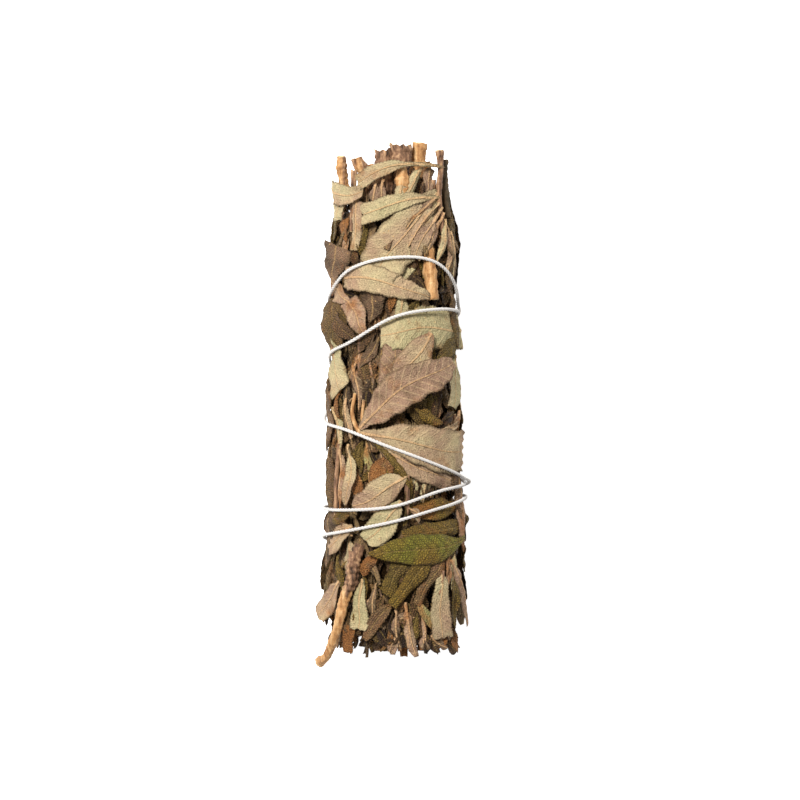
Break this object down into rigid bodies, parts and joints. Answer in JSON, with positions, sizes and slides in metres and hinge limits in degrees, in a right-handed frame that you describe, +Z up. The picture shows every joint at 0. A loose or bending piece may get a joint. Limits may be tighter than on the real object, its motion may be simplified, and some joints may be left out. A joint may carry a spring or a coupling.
{
  "type": "dried sage bunch",
  "caption": "Dried sage sprigs packed leaf over leaf into a hand-sized oval bunch, woody stem ends bare, wound in crossing turns with white cotton twine and lying on its side.",
  "frame": {"origin": "on the surface that the bunch lies on, at the middle of the flat spot of the leaf under its middle", "axes": "+Y runs along the bunch towards its cut woody ends, +Z is up from the surface, +X is to the right when the bunch is seen from above with the woody ends away"},
  "size_m": [0.0306, 0.1041, 0.0247],
  "materials": {
    "sage_leaf_green": "matte",
    "sage_leaf_pale": "matte",
    "sage_leaf_brown": "matte",
    "woody_stem": "matte",
    "cotton_twine": "matte"
  },
  "bodies": {
    "root": {"collar_shoot": "sage_leaf_brown", "corner_shoot": "sage_leaf_pale", "crown_broad_shoot": "sage_leaf_pale", "crown_left_shoot": "sage_leaf_green", "crown_shoot": "sage_leaf_pale", "cut_stem_edge": "woody_stem", "cut_stem_lower": "woody_stem", "cut_stem_upper": "woody_stem", "dark_shoot": "sage_leaf_brown", "fan_shoot": "sage_leaf_green", "floor_shoot_1": "sage_leaf_brown", "floor_shoot_2": "sage_leaf_pale", "floor_shoot_3": "sage_leaf_green", "green_shoot": "sage_leaf_green", "hidden_shoot_1": "sage_leaf_brown", "hidden_shoot_2": "sage_leaf_pale", "left_edge_shoot": "sage_leaf_pale", "left_flank_shoot": "sage_leaf_green", "left_shoot": "sage_leaf_brown", "lower_left_shoot": "sage_leaf_green", "mid_left_shoot": "sage_leaf_brown", "pale_shoot": "sage_leaf_pale", "right_low_shoot": "sage_leaf_brown", "right_shoot": "sage_leaf_pale", "right_upper_shoot": "sage_leaf_green", "side_shoot_1": "sage_leaf_brown", "side_shoot_2": "sage_leaf_pale", "side_shoot_3": "sage_leaf_green", "side_shoot_4": "sage_leaf_brown", "side_shoot_5": "sage_leaf_pale", "side_shoot_6": "sage_leaf_green", "sprig_1_leaves": "sage_leaf_green", "sprig_1_stem": "woody_stem", "sprig_2_leaves": "sage_leaf_brown", "sprig_2_stem": "woody_stem", "sprig_3_leaves": "sage_leaf_green", "sprig_3_stem": "woody_stem", "sprig_4_leaves": "sage_leaf_brown", "sprig_4_stem": "woody_stem", "sprig_5_leaves": "sage_leaf_green", "sprig_5_stem": "woody_stem", "sprig_6_leaves": "sage_leaf_brown", "sprig_6_stem": "woody_stem", "tail_shoot": "sage_leaf_brown", "twine": "cotton_twine", "waist_shoot": "sage_leaf_pale"}
  },
  "joints": []
}
